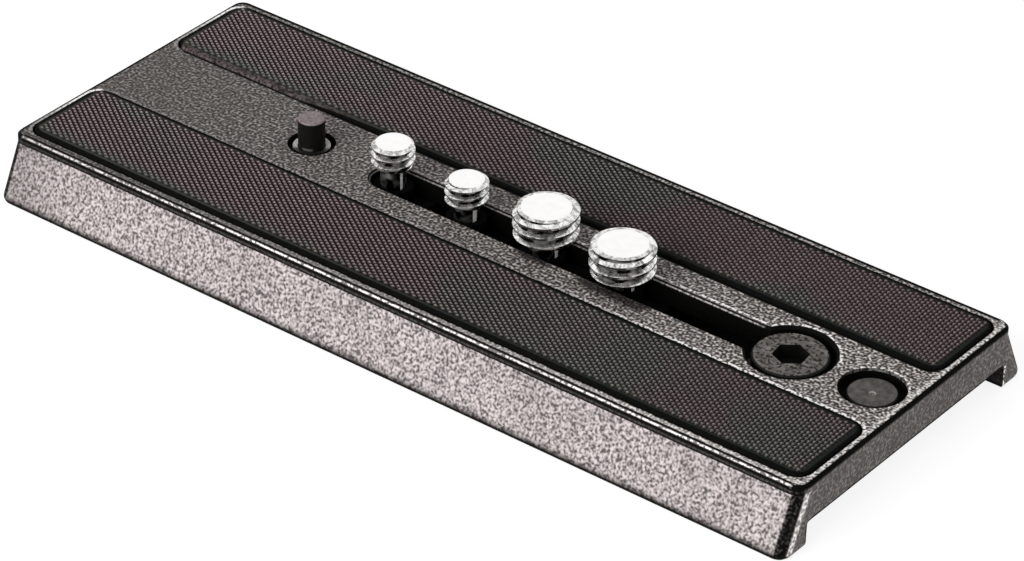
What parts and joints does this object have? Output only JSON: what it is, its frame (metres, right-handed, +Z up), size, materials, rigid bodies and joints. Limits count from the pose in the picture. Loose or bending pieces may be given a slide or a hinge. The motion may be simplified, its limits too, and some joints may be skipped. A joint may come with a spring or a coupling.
{
  "type": "tripod quick release plate",
  "caption": "Long sliding dovetail plate for a video tripod head, with rubber pads, a keyhole slot with captive camera screws and a sprung anti-twist pin.",
  "frame": {"origin": "middle of the plate on the plane of the rail feet", "axes": "+X along the plate towards the keyhole end, +Z up out of the deck"},
  "size_m": [0.14, 0.058, 0.0167],
  "materials": {
    "cast_paint": "fine crinkle paint",
    "pad_rubber": "moulded pyramids",
    "bright_nickel": "bright nickel",
    "dark_steel": "blackened",
    "grey_steel": "zinc plated",
    "spring_steel": "drawn wire",
    "ring_rubber": "matt",
    "black_nylon": "matt"
  },
  "bodies": {
    "plate": {"plate_body": "cast_paint", "grip_pad_near": "pad_rubber", "grip_pad_far": "pad_rubber", "pin_bush": "grey_steel", "pin_spring": "spring_steel", "pin_cap": "grey_steel", "keyhole_stop_screw": "cast_paint", "keyhole_stop_strip": "grey_steel", "stop_rivet": "cast_paint"},
    "pin": {"anti_twist_pin": "dark_steel"},
    "ring_1": {"friction_ring_1": "ring_rubber"},
    "washer_1": {"head_washer_1": "black_nylon"},
    "screw_1": {"quarter_inch_screw_1": "bright_nickel"},
    "ring_2": {"friction_ring_2": "ring_rubber"},
    "washer_2": {"head_washer_2": "black_nylon"},
    "screw_2": {"quarter_inch_screw_2": "bright_nickel"},
    "ring_3": {"friction_ring_3": "ring_rubber"},
    "washer_3": {"head_washer_3": "black_nylon"},
    "screw_3": {"three_eighths_screw_1": "bright_nickel"},
    "ring_4": {"friction_ring_4": "ring_rubber"},
    "washer_4": {"head_washer_4": "black_nylon"},
    "screw_4": {"three_eighths_screw_2": "bright_nickel"}
  },
  "joints": [
    {"name": "pin_press", "type": "slide", "parent": "plate", "child": "pin", "axis": [0, 0, 1], "range_m": [-0.0039, 0], "stiffness_N_per_m": 300, "springref_m": 0.003, "deforming": ["pin_spring"]},
    {"name": "screw_1_slide", "type": "slide", "parent": "plate", "child": "ring_1", "axis": [1, 0, 0], "range_m": [-0.0004, 0.00105]},
    {"name": "screw_1_lift", "type": "slide", "parent": "ring_1", "child": "washer_1", "axis": [0, 0, 1], "range_m": [-0.0022, 0.00025]},
    {"name": "screw_1_turn", "type": "hinge", "parent": "washer_1", "child": "screw_1", "pos_m": [-0.0193, 0, 0.008], "axis": [0, 0, 1], "continuous": true},
    {"name": "screw_2_slide", "type": "slide", "parent": "plate", "child": "ring_2", "axis": [1, 0, 0], "range_m": [-0.00105, 0.0011]},
    {"name": "screw_2_lift", "type": "slide", "parent": "ring_2", "child": "washer_2", "axis": [0, 0, 1], "range_m": [-0.0014, 0.00105]},
    {"name": "screw_2_turn", "type": "hinge", "parent": "washer_2", "child": "screw_2", "pos_m": [-0.00586, 0, 0.008], "axis": [0, 0, 1], "continuous": true},
    {"name": "screw_3_slide", "type": "slide", "parent": "plate", "child": "ring_3", "axis": [1, 0, 0], "range_m": [-0.0011, 0.0005]},
    {"name": "screw_3_lift", "type": "slide", "parent": "ring_3", "child": "washer_3", "axis": [0, 0, 1], "range_m": [-0.00151, 0.00004]},
    {"name": "screw_3_turn", "type": "hinge", "parent": "washer_3", "child": "screw_3", "pos_m": [0.0083, 0, 0.008], "axis": [0, 0, 1], "continuous": true},
    {"name": "screw_4_slide", "type": "slide", "parent": "plate", "child": "ring_4", "axis": [1, 0, 0], "range_m": [-0.0005, 0.016]},
    {"name": "screw_4_lift", "type": "slide", "parent": "ring_4", "child": "washer_4", "axis": [0, 0, 1], "range_m": [-0.00091, 0.00064]},
    {"name": "screw_4_turn", "type": "hinge", "parent": "washer_4", "child": "screw_4", "pos_m": [0.0217, 0, 0.008], "axis": [0, 0, 1], "continuous": true}
  ]
}
